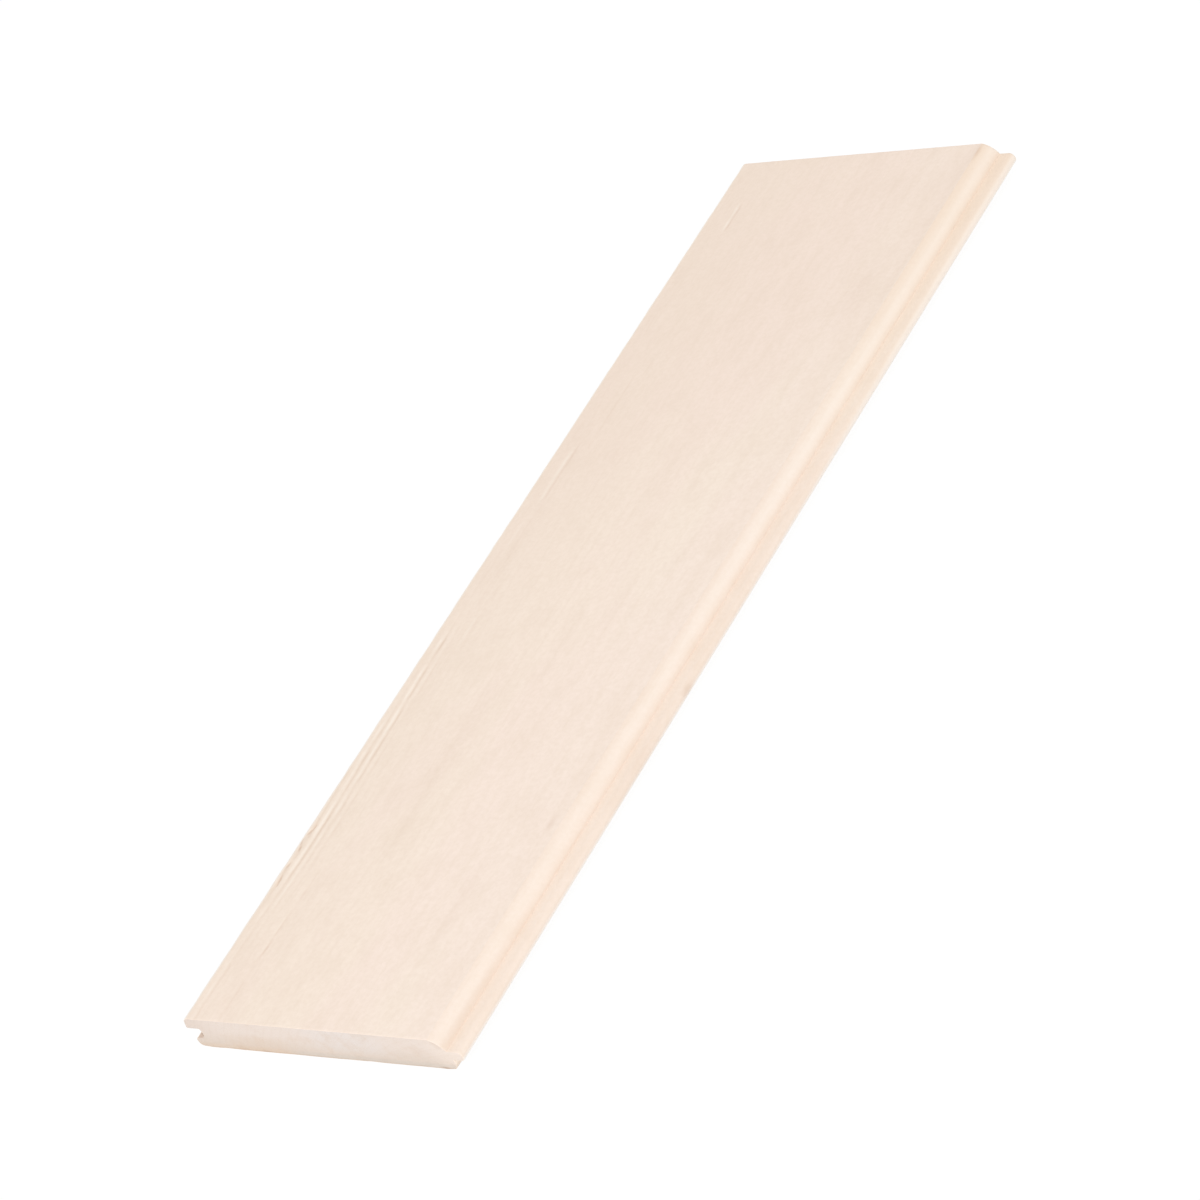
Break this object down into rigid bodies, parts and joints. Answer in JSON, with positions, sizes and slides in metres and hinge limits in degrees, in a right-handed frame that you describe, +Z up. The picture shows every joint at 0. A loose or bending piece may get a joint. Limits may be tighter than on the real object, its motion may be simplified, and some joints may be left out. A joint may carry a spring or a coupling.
{
  "type": "tongue and groove board",
  "caption": "Flat planed wooden lining board, cut short, with a tongue along its right edge, a matching groove along its left edge and softly rounded face edges.",
  "frame": {"origin": "under the middle of the board, on the plane that its back rests on", "axes": "+Y along the grain and the board's length, +X from the groove to the tongue, +Z up out of the face"},
  "size_m": [0.121, 0.39, 0.014],
  "materials": {
    "planed_wood": "planed, unfinished, satin"
  },
  "bodies": {
    "root": {"board": "planed_wood"}
  },
  "joints": []
}
